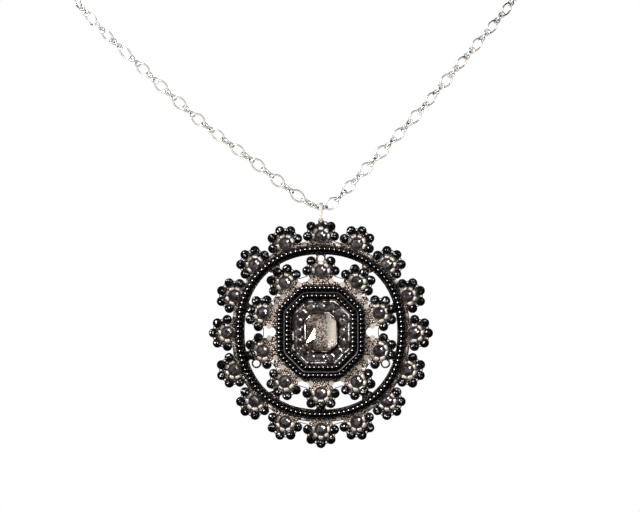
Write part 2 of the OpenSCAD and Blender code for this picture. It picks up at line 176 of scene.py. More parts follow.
def soft_box(name, place, size, watts):
    """A rectangular area light that faces the pendant."""
    data = bpy.data.lights.new(name, "AREA")
    data.shape = "RECTANGLE"
    data.size, data.size_y = size
    data.energy = watts
    lamp = linked(name, data)
    lamp.location = place
    lamp.rotation_euler = (VIEW_MIDDLE - place).to_track_quat("-Z", "Y").to_euler()


def light_only(name, things):
    """Screen a lamp so that it lights only these objects."""
    lit = bpy.data.collections.new("lit_by_" + name)
    bpy.data.objects[name].light_linking.receiver_collection = lit
    for thing in things:
        lit.objects.link(thing)


for name, distance, direction, size, watts in LAMPS:
    soft_box(name, VIEW_MIDDLE + distance * Vector(direction).normalized(), size, watts)
soft_box("floor_light", Vector((0, FLOOR_Y, 0.6)), (1.4, 1.4), 18)
light_only("floor_light", [floor])
print("lights:", len(bpy.data.lights))

# %% World
GLOW_WAY, DARKEST, GLOW = (-0.45, -0.83, 0.33), 0.004, 0.025
world = bpy.data.worlds.new("studio")
world.use_nodes = True
bpy.context.scene.world = world
sky = world.node_tree
seen = add_node(sky, "ShaderNodeTexCoord")
towards_glow = add_node(
    sky, "ShaderNodeVectorMath", {"Vector": seen, "Vector_001": GLOW_WAY}, operation="DOT_PRODUCT"
)
room = add_node(
    sky, "ShaderNodeMapRange",
    {"Value": towards_glow, "From Min": 0.1, "From Max": 1.0, "To Min": DARKEST, "To Max": GLOW},
    interpolation_type="SMOOTHSTEP",
)
rays = add_node(sky, "ShaderNodeLightPath")
ground = add_node(
    sky, "ShaderNodeMix",
    {"Factor_Float": rays.outputs["Is Camera Ray"], "A_Color": room, "B_Color": (1, 1, 1, 1)},
    data_type="RGBA",
)
feed(sky.nodes["Background"], {"Color": ground})
bpy.context.scene.view_settings.view_transform = "Standard"
print("made", world.name)

# %% [markdown]
# ## Materials
# Every material starts from what the real finish is. Patterns read Object coordinates, so they
# stay on the metal when the pendant swings, and each scale comes from a size in millimetres.


# %% Starting a material
def new_material(name, **values):
    """A Principled material, its shader's own sockets set from values."""
    material = bpy.data.materials.new(name)
    material.use_nodes = True
    shader = material.node_tree.nodes["Principled BSDF"]
    feed(shader, {socket.replace("_", " "): value for socket, value in values.items()})
    place = add_node(material.node_tree, "ShaderNodeTexCoord")
    return material, shader, place.outputs["Object"]


def mottled(shader, place, spot, detail, tones=(), gloss=(), edge=()):
    """Uneven tone, gloss or both, in spots of one size in mm; returns the colour's node."""
    tree, tint = shader.id_data, None
    spots = add_node(
        tree, "ShaderNodeTexNoise", {"Vector": place, "Scale": 1 / (spot * MM), "Detail": detail}
    )
    if edge:
        limits = {"Value": spots, "From Min": edge[0], "From Max": edge[1]}
        spots = add_node(tree, "ShaderNodeMapRange", limits)
    if tones:
        tint = add_node(
            tree, "ShaderNodeMix",
            {"Factor_Float": spots, "A_Color": rgba(tones[0]), "B_Color": rgba(tones[1])},
            data_type="RGBA",
        )
        feed(shader, {"Base Color": tint})
    if gloss:
        limits = {"Value": spots, "To Min": gloss[0], "To Max": gloss[1]}
        feed(shader, {"Roughness": add_node(tree, "ShaderNodeMapRange", limits)})
    return tint


# %% [markdown]
# The chain and clasp are brass with bright silver plating: almost white, with a polish that is
# a little uneven from wear, in spots of about 0.8 mm.

# %% Bright silver plating
bright_silver, shader, place = new_material("bright_silver_plating", Metallic=1.0)
mottled(shader, place, 0.8, 3, ("F6F0EA", "DCD1C7"), (0.15, 0.35))
print("made", bright_silver.name)

# %% [markdown]
# The plate is cast, silver plated and then toned, so it is a warm cream silver with brown left in
# its low places. The casting's skin is pebbled: rounded cells about 0.45 mm across, dark between
# them. The stone cups stand above the skin and are burnished smooth, so the pebbles fade with
# height. Higher up, the cups' upper parts and rims, against the stones, carry painted shade: they
# darken with height, standing in for the shade in the gap round each stone.

# %% Toned cast silver with painted shade on the cups
PEBBLE, SKIN_END = 0.45, 1.04
# The second pair of heights, in mm: where the painted shade on the cups begins and where it is full.
RIM_SHADE_START, RIM_SHADE_FULL = SKIN_END + 0.3, SKIN_END + 0.5
cast_silver, shader, place = new_material("toned_cast_silver", Metallic=0.6)
cream = mottled(shader, place, 1.6, 4, ("F3E8DD", "BBA896"), (0.25, 0.5))
tree = cast_silver.node_tree
height = add_node(tree, "ShaderNodeSeparateXYZ", {"Vector": place}).outputs["Y"]
back_y = (CHAIN_LOW.y + EYELET_HEIGHT) * MM
pebbles = add_node(
    tree, "ShaderNodeTexVoronoi", {"Vector": place, "Scale": 1 / (PEBBLE * MM), "Randomness": 0.9}
)
on_skin = add_node(
    tree, "ShaderNodeMapRange",
    {"Value": height, "From Min": back_y - SKIN_END * MM,
     "From Max": back_y - (SKIN_END - 0.03) * MM},
)
groove = add_node(
    tree, "ShaderNodeMapRange", {"Value": pebbles, "From Min": 0.12, "From Max": 0.38},
    interpolation_type="SMOOTHSTEP",
)
dark = add_node(
    tree, "ShaderNodeMath", {"Value": groove, "Value_001": on_skin}, operation="MULTIPLY"
)
# Painted shade: the cups' upper parts and rims darken with height, for the shade in the gap round
# each stone.
painted_rim_shade = add_node(
    tree, "ShaderNodeMapRange",
    {"Value": height, "From Min": back_y - RIM_SHADE_START * MM, "From Max": back_y - RIM_SHADE_FULL * MM,
     "To Max": 0.95},
)
# Brown patina between the pebbles, together with the painted shade on the cups.
patina_and_rim_shade = add_node(tree, "ShaderNodeMath", {"Value": dark, "Value_001": painted_rim_shade}, operation="MAXIMUM")
toned = add_node(
    tree, "ShaderNodeMix", {"Factor_Float": patina_and_rim_shade, "A_Color": cream, "B_Color": rgba("2A1D16")},
    data_type="RGBA",
)
relief = add_node(
    tree, "ShaderNodeBump", {"Height": dark, "Strength": 0.8, "Distance": 0.1 * MM}, invert=True
)
feed(shader, {"Base Color": toned, "Normal": relief})
print("made", cast_silver.name)

# %% [markdown]
# Six more finishes of the same silver: the grains' tops are rubbed bright again, the pads round the
# stones are burnished, the bail is worn to cream, and the setting between the small stones is dark.
# The wire in the band's groove is near black, with grey patches as painted glints. The setting's
# fine edges carry painted highlights: bright patches here and there, dark between them.


# %% Rubbed, burnished and dark silver, and painted highlights
def toned_silver(name, light, dark, rough, metallic):
    """Plain toned silver, its tone uneven over about 1 mm."""
    material, shader, place = new_material(name, Metallic=metallic, Roughness=rough)
    mottled(shader, place, 0.9, 4, (light, dark))
    return material


grain_silver = toned_silver("rubbed_silver_grains", "FFF3E8", "BFA997", 0.28, 0.6)
pad_silver = toned_silver("burnished_silver_pads", "FBF4EC", "DDCFC1", 0.35, 0.35)
cream_silver = toned_silver("worn_cream_silver", "DED6CB", "BAAFA3", 0.4, 0.3)
dark_silver = toned_silver("darkened_silver", "74635A", "2A211D", 0.4, 0.6)
# Painted glints: grey patches along the groove wire's near-black tone.
blackened_silver = toned_silver("blackened_silver", "7C7370", "080607", 0.4, 0.6)
# Painted highlights: bright patches with dark between, on the setting's fine edges, for their broken
# reflections.
patchy_highlight_silver, shader, place = new_material("half_rubbed_silver_edges", Metallic=0.7, Roughness=0.25)
mottled(shader, place, 2.2, 1, ("3A2E2A", "FAF2E8"), edge=(0.47, 0.53))
print("made", ", ".join(m.name for m in bpy.data.materials if "silver" in m.name))

# %% [markdown]
# Cut and fire-polished surfaces break a reflection into pieces. Rounded Voronoi cells, each as
# large as a facet, tip the surface a little each way.


# %% Tipped facets
def tip_facets(shader, place, facet, tip):
    """Tip the normal in cells of one facet's size, in mm; returns the cells' colour."""
    tree = shader.id_data
    cells = add_node(tree, "ShaderNodeTexVoronoi", {"Vector": place, "Scale": 1 / (facet * MM)})
    way = colour = cells.outputs["Color"]
    normal = add_node(tree, "ShaderNodeNewGeometry").outputs["Normal"]
    for operation, inputs in (
        ("SUBTRACT", {"Vector_001": (0.5, 0.5, 0.5)}), ("SCALE", {"Scale": tip}),
        ("ADD", {"Vector_001": normal}), ("NORMALIZE", {}),
    ):
        way = add_node(tree, "ShaderNodeVectorMath", {"Vector": way, **inputs}, operation=operation)
    feed(shader, {"Normal": way})
    return colour


# %% [markdown]
# Both sorts of bead are black lead glass, as dark as glass gets, with a strong gloss. A faint
# noise in the roughness breaks the highlights a little. The seed beads have a clear glaze. The
# round petal beads are fire polished: lightly faceted, then melted soft.


# %% Black glass
seed_glass, shader, place = new_material(
    "black_seed_bead_glass", Base_Color=rgba("020202"), IOR=1.8,
    Coat_Weight=0.5, Coat_IOR=1.8, Coat_Roughness=0.03,
)
mottled(shader, place, 0.7, 2, gloss=(0.02, 0.08))
polished_glass, shader, place = new_material(
    "fire_polished_black_glass", Base_Color=rgba("0D0B0C"), IOR=1.8
)
mottled(shader, place, 0.7, 2, gloss=(0.02, 0.12))
tip_facets(shader, place, 0.7, 0.8)
print("made", seed_glass.name, polished_glass.name)

# %% [markdown]
# A rhinestone is glass with a foil behind it, so light that enters comes back tinted, like from
# a coloured mirror. Clear glass over a mirror needs many samples, so the stones are given a
# tinted metal's reflection, the small ones under a clear coat. The cells stand for the facets
# seen through the table. A duller, darker crystal is for facets whose foil is in shade.


# %% Foiled crystal
def foiled_crystal(name, light, dark, facet, tip, spread, coat=0.0, rough=0.28, painted_shading=()):
    """Crystal with foil: two tints in cells of one facet's size, in mm, tipped by tip."""
    material, shader, place = new_material(
        name, Metallic=0.35, Roughness=rough, Coat_Weight=coat, Coat_Roughness=0.02, Coat_IOR=2.2
    )
    tree = material.node_tree
    cells = tip_facets(shader, place, facet, tip)
    amount = add_node(tree, "ShaderNodeSeparateXYZ", {"Vector": cells})
    step = add_node(
        tree, "ShaderNodeMapRange", {"Value": amount, "From Min": spread[0], "From Max": spread[1]}
    )
    tint = add_node(
        tree, "ShaderNodeMix",
        {"Factor_Float": step, "A_Color": rgba(dark), "B_Color": rgba(light)},
        data_type="RGBA",
    )
    seen = add_node(tree, "ShaderNodeSeparateXYZ", {"Vector": place})
    # Painted shade and light: the tint is mixed towards a tone by place along one axis.
    for axis, start, end, most, tone in painted_shading:
        limits = {"From Min": start * MM, "From Max": end * MM, "To Max": most}
        painted_amount = add_node(tree, "ShaderNodeMapRange", {"Value": seen.outputs[axis], **limits})
        tint = add_node(
            tree, "ShaderNodeMix",
            {"Factor_Float": painted_amount, "A_Color": tint, "B_Color": rgba(tone)}, data_type="RGBA",
        )
    feed(shader, {"Base Color": tint})
    return material


# %% [markdown]
# The centre stone's speckles carry painted shade and light: painted shade darkens them to brown at
# its top, painted light turns them clear cream towards its right edge, and painted shade darkens
# them to brown again at its left and lower edges.

# %% The stones' crystal
BOTTOM = CHAIN_LOW.z - PENDANT_DROP - 4.9
# Painted shade at the top, the left and the bottom, and painted light towards the right edge.
PAINTED_SHADE_AND_LIGHT = (
    ("Z", BOTTOM + 7, BOTTOM + 9.4, 0.75, "3A2C22"),
    ("X", 1.2, 2.6, 1.0, "FFF6EA"),
    ("X", -1.1, -2, 0.88, "1A130F"),
    ("Z", BOTTOM + 1.9, BOTTOM + 0.1, 0.8, "2A2118"),
)
SPECKLES = (0.25, 0.35, (0.42, 0.66))
smoke_crystal = foiled_crystal(
    "smoke_foiled_crystal", "6A6262", "2C2728", 1.0, 0.12, (0.2, 0.8), coat=1.0
)
shaded_crystal = foiled_crystal(
    "shaded_champagne_crystal", "9A897C", "362B25", *SPECKLES, rough=0.8
)
champagne_crystal = foiled_crystal(
    "speckled_champagne_crystal", "F8E6D8", "55433A", *SPECKLES, painted_shading=PAINTED_SHADE_AND_LIGHT
)
print("made", smoke_crystal.name, shaded_crystal.name, champagne_crystal.name)

# %% [markdown]
# Light that goes into the stone at the key's angle leaves it again towards a viewer in front:
# sharp through one facet, and spread wide through the one at the right. The shading of both is
# turned, in the stone's own space, half way between the key and the viewer.


# %% Facets that pass the key on
TO_VIEWER = (0, -1, 0)


def passing_crystal(name, colour, rough):
    """Crystal through which the key leaves towards a viewer in front."""
    material, shader, place = new_material(
        name, Base_Color=rgba(colour), Metallic=0.9, Roughness=rough
    )
    half_way = add_node(
        material.node_tree, "ShaderNodeVectorTransform",
        {"Vector": (Vector(KEY) + Vector(TO_VIEWER)).normalized()},
        vector_type="NORMAL", convert_from="OBJECT", convert_to="WORLD",
    )
    feed(shader, {"Normal": half_way})
    return material


mirror_facet = passing_crystal("mirroring_champagne_crystal", "F2EAE0", 0.12)
clear_facet = passing_crystal("clear_champagne_crystal", "CFC5B9", 0.8)
print("made", mirror_facet.name, clear_facet.name)

# %% [markdown]
# Waxed nylon thread, black: dull, with a little sheen along the twist.

# %% Waxed thread
waxed_thread, shader, place = new_material(
    "waxed_black_nylon_thread", Sheen_Weight=0.3, Sheen_Roughness=0.4, IOR=1.5
)
mottled(shader, place, 0.15, 2, ("0A0909", "2C2724"), (0.35, 0.6))
print("made", waxed_thread.name)

# %% [markdown]
# ## Shapes that repeat
# Links, beads, grains and claws are each drawn once, small and with few faces, and Geometry
# Nodes set them out. A bead is a lathe shape: a closed outline turned about the thread's axis,
# so the hole is part of it.


# %% Mesh, circle and rounding
def mesh_from(name, points, faces, smooth=True):
    """A mesh with its faces turned outwards."""
    mesh = bpy.data.meshes.new(name)
    mesh.from_pydata([tuple(p) for p in points], [], faces)
    shape = bmesh.new()
    shape.from_mesh(mesh)
    bmesh.ops.recalc_face_normals(shape, faces=shape.faces)
    shape.to_mesh(mesh)
    shape.free()
    if smooth:
        mesh.shade_smooth()
    return mesh


def circle(count):
    """Angles round a circle."""
    return [2 * pi * i / count for i in range(count)]


def soften(value):
    """Move a sine or cosine from a circle's towards a rounded square's."""
    return copysign(abs(value) ** 0.6, value)


# %% Skins over sections
def closed_bar(name, sections):
    """A bar whose last section joins its first, each section a closed row of points."""
    count, n = len(sections), len(sections[0])
    faces = []
    for i in range(count):
        here, after = i * n, (i + 1) % count * n
        faces += [(here + j, here + (j + 1) % n, after + (j + 1) % n, after + j) for j in range(n)]
    return mesh_from(name, [p for section in sections for p in section], faces)


def capped(name, first, last, sections):
    """A closed skin over sections of points, from one end point to the other."""
    n = len(sections[0])
    top = 2 + (len(sections) - 1) * n
    faces = []
    for j in range(n):
        m = (j + 1) % n
        faces += [(0, 2 + m, 2 + j), (1, top + j, top + m)]
        faces += [(k + j, k + m, k + n + m, k + n + j) for k in range(2, top, n)]
    return mesh_from(name, [first, last, *(p for section in sections for p in section)], faces)


# %% Lathe, link and bar
def spun(outline, sides):
    """Copies of an outline of (along, radius) points, turned about X."""
    return [[(x, r * cos(a), r * sin(a)) for x, r in outline] for a in circle(sides)]


def lathe(name, outline, sides):
    """Turn an open outline; its ends close on the axis."""
    first, last = (outline[0][0], 0, 0), (outline[-1][0], 0, 0)
    return capped(name, first, last, list(zip(*spun(outline, sides))))


def link_shape(name, length, width, wire, steps, sides):
    """An oval link in the XY plane, its length along X, of round wire."""
    half_x, half_y = (length - wire) / 2, (width - wire) / 2
    sections = []
    for c, s in [(cos(a), sin(a)) for a in circle(steps)]:
        middle = Vector((half_x * c, half_y * s, 0))
        out = Vector((half_y * c, half_x * s, 0)).normalized()
        sections.append([
            middle + wire / 2 * (out * cos(b) + Vector((0, 0, sin(b))))
            for b in circle(sides)
        ])
    return closed_bar(name, sections)


def bar(name, path, across, high, sides, up):
    """A closed bar with nearly flat faces: across is its half size square to up, high along up."""
    up, sections = Vector(up), []
    across, high = (np.broadcast_to(size, len(path)) for size in (across, high))
    for i, place in enumerate(path):
        way = (path[(i + 1) % len(path)] - path[i - 1]).normalized()
        out = way.cross(up)
        sections.append([
            place + out * across[i] * soften(cos(a)) + up * high[i] * soften(sin(a))
            for a in circle(sides)
        ])
    return closed_bar(name, sections)


print("shapes: closed bars, capped skins, lathe shapes, links and bars")

# %% [markdown]
# Two trees do all the setting out. The first strings beads evenly on a path, each turned along
# it. The second puts a part on every point of a mesh, along and facing the ways that the point's
# own attributes say. Both add a little seeded unevenness, and both end as one real mesh. Turn
# is in radians, about the part's own three axes, and Size is a share of one.


# %% Starting a tree
def new_tree(name, **inputs):
    """A Geometry Nodes tree with named inputs; returns it and its inputs' sockets."""
    tree = bpy.data.node_groups.new(name, "GeometryNodeTree")
    tree.interface.new_socket("Geometry", in_out="INPUT", socket_type="NodeSocketGeometry")
    inputs |= dict(Part="Object", Turn="Vector", Size="Float", Seed="Int", Material="Material")
    for label, kind in inputs.items():
        tree.interface.new_socket(label, in_out="INPUT", socket_type="NodeSocket" + kind)
    tree.interface.new_socket("Geometry", in_out="OUTPUT", socket_type="NodeSocketGeometry")
    return tree, add_node(tree, "NodeGroupInput").outputs


def uneven(tree, rotation, turn, size, seed):
    """Turn each part by up to turn and scale it within size of one, at random."""
    low = add_node(tree, "ShaderNodeVectorMath", {"Vector": turn, "Scale": -1.0}, operation="SCALE")
    spread = add_node(
        tree, "FunctionNodeRandomValue", {"Min": low, "Max": turn, "Seed": seed},
        data_type="FLOAT_VECTOR",
    )
    turned_a_little = add_node(
        tree, "FunctionNodeRotateRotation", {"Rotation": rotation, "Rotate By": spread},
        rotation_space="LOCAL",
    )
    least = add_node(tree, "ShaderNodeMath", {"Value": 1.0, "Value_001": size}, operation="SUBTRACT")
    most = add_node(tree, "ShaderNodeMath", {"Value": 1.0, "Value_001": size}, operation="ADD")
    scale = add_node(
        tree, "FunctionNodeRandomValue", {"Min": least, "Max": most, "Seed": seed}, data_type="FLOAT"
    )
    return turned_a_little, scale


# %% Setting parts out
def set_out(tree, given, points, along, front):
    """Put the part on points, along and facing these ways, and end in real geometry."""
    facing = add_node(
        tree, "FunctionNodeAxesToRotation", {"Primary Axis": along, "Secondary Axis": front},
        primary_axis="X", secondary_axis="Z",
    )
    rotation, scale = uneven(tree, facing, given["Turn"], given["Size"], given["Seed"])
    part = add_node(tree, "GeometryNodeObjectInfo", {"Object": given["Part"], "As Instance": True})
    parts = add_node(
        tree, "GeometryNodeInstanceOnPoints",
        {"Points": points, "Instance": part.outputs["Geometry"], "Rotation": rotation,
         "Scale": scale},
    )
    real = add_node(tree, "GeometryNodeRealizeInstances", {"Geometry": parts})
    with_finish = {"Geometry": real, "Material": given["Material"]}
    finished = add_node(tree, "GeometryNodeSetMaterial", with_finish)
    add_node(tree, "NodeGroupOutput", {"Geometry": finished})
    print("tree:", tree.name)


# %% The two trees
string_tree, given = new_tree("beads_strung_on_a_path", Count="Int")
path = add_node(string_tree, "GeometryNodeMeshToCurve", {"Mesh": given["Geometry"]})
even = add_node(
    string_tree, "GeometryNodeResampleCurve", {"Curve": path, "Count": given["Count"]},
    mode="COUNT",
)
set_out(string_tree, given, even, add_node(string_tree, "GeometryNodeInputTangent"), (0, 0, 1))

setting_tree, given = new_tree("parts_set_on_points")
ways = [
    add_node(
        setting_tree, "GeometryNodeInputNamedAttribute", {"Name": name}, data_type="FLOAT_VECTOR"
    )
    for name in ("along", "facing")
]
set_out(setting_tree, given, given["Geometry"], *ways)


# %% What a tree works on
def pattern(mesh):
    """An object for a tree to copy. It is taken away at the end."""
    thing = linked("pattern_" + mesh.name, mesh)
    thing.hide_render = True
    return thing


def point_mesh(name, points, along, facing):
    """Points with the two directions, for each or for all, that the setting tree reads."""
    mesh = bpy.data.meshes.new(name)
    mesh.from_pydata([tuple(p) for p in points], [], [])
    for label, vectors in (("along", along), ("facing", facing)):
        values = mesh.attributes.new(label, "FLOAT_VECTOR", "POINT")
        each = np.broadcast_to(np.array(vectors, float), (len(points), 3))
        values.data.foreach_set("vector", each.ravel())
    return mesh


def path_mesh(name, points, z):
    """A closed path at one height on the pendant for a tree to follow."""
    mesh = bpy.data.meshes.new(name)
    edges = [(i, (i + 1) % len(points)) for i in range(len(points))]
    mesh.from_pydata([(*p, z) for p in points], edges, [])
    return mesh


# %% Growing a tree into a plain mesh
def grown(name, seed_mesh, tree, **sizes):
    """Run a tree on a mesh and return the result as a plain mesh."""
    host = linked(name, seed_mesh)
    modifier = host.modifiers.new("grow", "NODES")
    modifier.node_group = tree
    for socket in tree.interface.items_tree:
        if socket.in_out == "INPUT" and socket.name in sizes:
            modifier[socket.identifier] = sizes[socket.name]
    bpy.context.view_layer.update()
    shown = host.evaluated_get(bpy.context.evaluated_depsgraph_get())
    result = bpy.data.meshes.new_from_object(shown)
    result.name = name
    result.materials.clear()
    result.materials.append(sizes["Material"])
    result.polygons.foreach_set("material_index", [0] * len(result.polygons))
    bpy.data.objects.remove(host)
    print(name, "faces:", len(result.polygons))
    return result


def dressed(mesh, slot, *nodes, body="pendant", matrix=HANG):
    """Hang a finished mesh on its body and hide the nodes it stands for; slot is not used."""
    mesh.transform(matrix)
    piece = linked(mesh.name, mesh)
    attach(piece, body)
    if nodes:
        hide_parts(*nodes)


def joined(name, *meshes):
    """Several meshes of one material as one."""
    whole = bmesh.new()
    for mesh in meshes:
        whole.from_mesh(mesh)
    mesh = bpy.data.meshes.new(name)
    whole.to_mesh(mesh)
    whole.free()
    mesh.materials.append(meshes[0].materials[0])
    print(name, "faces:", len(mesh.polygons))
    return mesh


# %% [markdown]
# ## The chain
# A long-and-short cable chain: one long oval link, then three short round ones. The route is
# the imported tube's own. Along the photograph's left strand the pattern repeats every 6.7 mm and
# along its right strand every 6.4 mm, so each strand's period is fitted to its length.

# %% The route
CHAIN = [
    (6.9, 0, 0), (14, -0.8, 0), (28, -4.5, -0.2), (43, -13, -1), (55.5, -27, -2.5),
    (63.5, -43, -5), (66.5, -60, -9), (64.5, -76, -15), (58.5, -89, -24.5), (49.6, -97, -36.8),
    (37.5, -100, -51.2), (25.4, -102, -65.4), (12.4, -103.5, -79.2), (4.4, -104, -87.6),
    tuple(CHAIN_LOW),
    (-6.2, -104, -86.9), (-16.9, -103.5, -78.6), (-32.5, -102, -66.7), (-48.2, -100, -52.3),
    (-62.1, -96.5, -38.7), (-70.5, -88, -26.5), (-75, -75, -16.5), (-75.5, -59, -9.5),
    (-71, -43, -5.5), (-61, -27, -2.5), (-46.5, -13, -1), (-29, -4.5, -0.2), (-14, -0.8, 0),
    (-6.9, 0, 0),
]


def curve_through(points, steps):
    """Catmull-Rom points through a list of places."""
    p = np.array([points[0], *points, points[-1]], float)
    t = np.arange(steps)[:, None] / steps
    spans = [
        0.5 * (2 * b + (c - a) * t + (2 * a - 5 * b + 4 * c - d) * t * t
               + (3 * b - a - 3 * c + d) * t**3)
        for a, b, c, d in zip(p, p[1:], p[2:], p[3:])
    ]
    return np.concatenate([*spans, p[-1:]])


def paces(line):
    """Distance of each point of a line from its start."""
    return np.concatenate([[0], np.cumsum(np.linalg.norm(np.diff(line, axis=0), axis=1))])


def place_at(s, line, paced):
    """Place at a distance along a line."""
    return np.array([np.interp(s, paced, column) for column in np.transpose(line)])


ROUTE_STEPS = 12
route = curve_through(CHAIN, ROUTE_STEPS)
travel = paces(route)
low_at = travel[CHAIN.index(tuple(CHAIN_LOW)) * ROUTE_STEPS]
print("the chain is", round(travel[-1], 1), "mm long, and hangs from", round(low_at, 1), "mm")

# %% [markdown]
# The long links lie flat against the wearer. The short ones turn a quarter each from the one
# before. At the bail six short links stand between the two nearest long ones. Links hold each
# other about as far apart as their lengths and wires let them.

# %% Where the links go
LONG_LINK, SHORT_LINK = (4.2, 3.1, 0.42), (2.05, 1.7, 0.42)
PERIOD_PARTS = (1 / 3, 1 / 2, 2 / 3)
SHORT_TURNS = (42, 132, 222)
RIGHT_FIRST, RIGHT_PERIOD = 3.1, 6.36
LEFT_FIRST, LEFT_PERIOD = 7.0, 6.7
MIDDLE_FROM, MIDDLE_TO, MIDDLE_TURN = -0.9, 4.8, 60
NECK_Y, HALF_STEP = -52, 0.8


def strand(start, end, period):
    """Distances of the long links, and of the short ones with their turns, from start to end."""
    span, way = abs(end - start), copysign(1, end - start)
    counts = [n + part for n in range(20, 45) for part in PERIOD_PARTS]
    period = min((abs(span / n - period), span / n) for n in counts)[1]
    long_at, short_at = [], []
    for n in range(int(span / period) + 1):
        long_at.append((start + way * n * period, 0))
        for part, turn in zip(PERIOD_PARTS, SHORT_TURNS):
            if (n + part) * period < span + 0.01:
                short_at.append((start + way * (n + part) * period, turn))
    return long_at, short_at


right_long, right_short = strand(low_at - RIGHT_FIRST, 0, RIGHT_PERIOD)
left_long, left_short = strand(low_at + LEFT_FIRST, travel[-1], LEFT_PERIOD)
middle = np.linspace(low_at + MIDDLE_FROM, low_at + MIDDLE_TO, 6)
middle_short = [(s, MIDDLE_TURN + 90 * i) for i, s in enumerate(middle)]
all_long, all_short = right_long + left_long, right_short + middle_short + left_short
print("links:", len(all_long), "long,", len(all_short), "short")


# %% Laying the links
def link_points(name, links):
    """Points for links, flat against the wearer and then turned about the chain."""
    places, along, facing = [], [], []
    for s, turn in links:
        place, ahead, behind = (place_at(s + d, route, travel) for d in (0, HALF_STEP, -HALF_STEP))
        way = (ahead - behind) / np.linalg.norm(ahead - behind)
        out = np.array([place[0], place[1] - NECK_Y, 0])
        out -= out.dot(way) * way
        out /= np.linalg.norm(out)
        a = radians(turn)
        places.append(place * MM)
        along.append(way)
        facing.append(cos(a) * out + sin(a) * np.cross(way, out))
    return point_mesh(name, places, along, facing)


LOOSE = radians(14)
strands = [
    grown(
        name + "_links", link_points(name + "_places", links), setting_tree,
        Part=pattern(link_shape(name + "_link", *(size * MM for size in sizes), steps, 6)),
        Turn=(LOOSE, *sway), Size=0.0, Seed=seed, Material=bright_silver,
    )
    for name, links, sizes, steps, sway, seed in (
        ("long", all_long, LONG_LINK, 20, (0.04, 0.07), 4),
        ("short", all_short, SHORT_LINK, 14, (0.05, 0.08), 9),
    )
]
dressed(
    joined("chain_links", *strands), "chain_silver", "chain", body="neck_chain", matrix=Matrix()
)

# %% [markdown]
# The clasp is out of sight in the photograph. A screw barrel is the usual one on such a chain:
# two halves that meet in the middle, a milled grip on each, and an eye at each end.


# %% Screw barrel clasp
half = [(0.06, 1.5), (0.12, 1.62), (0.5, 1.66)]
for x in [0.8 + 0.3 * k for k in range(9)]:
    half += [(x, 1.66), (x + 0.1, 1.7), (x + 0.15, 1.58), (x + 0.2, 1.7)]
half += [(3.6, 1.64), (4.0, 1.55), (4.3, 1.3), (4.5, 1.06), (4.8, 1.04), (4.95, 0.85), (5.0, 0.4)]
outline = [(-x, r) for x, r in reversed(half)] + [(0, 1.48)] + half
barrel = lathe("barrel", outline, 32)
barrel.materials.append(bright_silver)
EYE_ACROSS, EYE_WIRE, EYE_X = 2.6, 0.7, 5.75
pieces = [barrel]
for side in (-1, 1):
    eye = link_shape("eye", EYE_ACROSS, EYE_ACROSS, EYE_WIRE, 24, 10)
    eye.transform(Matrix.Translation((side * EYE_X, 0, 0)) @ Matrix.Rotation(pi / 2, 4, "X"))
    pieces.append(eye)
dressed(
    joined("screw_barrel_clasp", *pieces), "chain_silver", "clasp",
    body="neck_chain", matrix=Matrix.Scale(MM, 4),
)

# %% [markdown]
# ## The bail
# A strip of sheet is bent to a teardrop loop: wide over the chain, and drawn down to a wire
# where it passes through the eyelet.

# %% Strap bail
BAIL_TOP_R, BAIL_FOOT_R, BAIL_DROP = 1.18, 0.8, 3.5
STRAP_WIDTH, STRAP_THICK, FOOT_WIDTH, FOOT_THICK = 1.0, 0.26, 0.36, 0.3
foot_z = BAIL_FOOT_R - BAIL_DROP
lean = asin((BAIL_TOP_R - BAIL_FOOT_R) / -foot_z)
turn_over = pi + lean
loop = [
    Vector((0, r * cos(a), z + r * sin(a)))
    for r, z, angles in (
        (BAIL_TOP_R, 0, np.linspace(-lean, turn_over, 29)),
        (BAIL_FOOT_R, foot_z, np.linspace(turn_over, 2 * pi - lean, 17)),
    )
    for a in angles
]
rise = [min(1, (p.z + BAIL_DROP) / BAIL_DROP) for p in loop]
widths = [(FOOT_WIDTH + (STRAP_WIDTH - FOOT_WIDTH) * t**0.6) / 2 for t in rise]
thick = [(FOOT_THICK - (FOOT_THICK - STRAP_THICK) * t) / 2 for t in rise]
bail_mesh = bar("strap_bail", loop, thick, widths, 14, (1, 0, 0))
bail_mesh.materials.append(cream_silver)
dressed(
    bail_mesh, "chain_silver", "bail",
    body="bail", matrix=Matrix.Scale(MM, 4) @ Matrix.Translation(CHAIN_LOW),
)
print("bail sections:", len(loop))

# %% [markdown]
# ## Petals
# Sixteen petals stand outside the ring and ten round the medallion. Each has a stone and five
# beads, and four beads are missing: one where the bail hangs, and three from empty loops.


# %% Petal places
def bearing(turn):
    """Direction clockwise from the top, turn in degrees."""
    return np.array([sin(radians(turn)), cos(radians(turn))])


OUTER_COUNT, INNER_COUNT, INNER_R = 16, 10, 16.2
OUTER_A, OUTER_B, OUTER_DROP = 24.75, 25.55, 0.2
outer_stones = [
    np.array([OUTER_A, OUTER_B]) * bearing(360 * i / OUTER_COUNT) - (0, OUTER_DROP)
    for i in range(OUTER_COUNT)
]
inner_stones = [INNER_R * bearing(360 * i / INNER_COUNT) for i in range(INNER_COUNT)]
BEAD_TURNS = (-90, -45, 0, 45, 90)
OUTER_BEAD_R = (3.55, 3.72, 3.68, 3.72, 3.55)
INNER_BEAD_R = (3.7, 3.72, 3.3, 3.72, 3.7)
OUTER_MISSING, INNER_MISSING = (2,), (2, 18, 36)
BEAD_D, BEAD_HOLE, BEAD_Z = 2.54, 0.7, 2.17
UP = (0, 0, 1)


def petal_turn(stone, k):
    """Bearing of a petal's bead k as its stone sees it."""
    return degrees(atan2(*stone)) + BEAD_TURNS[k % 5]


def petal_bead(stones, radii, k):
    """Place of bead k, and the way its hole points, clockwise."""
    stone = stones[k // 5]
    turn = petal_turn(stone, k)
    return stone + radii[k % 5] * bearing(turn), bearing(turn + 90)


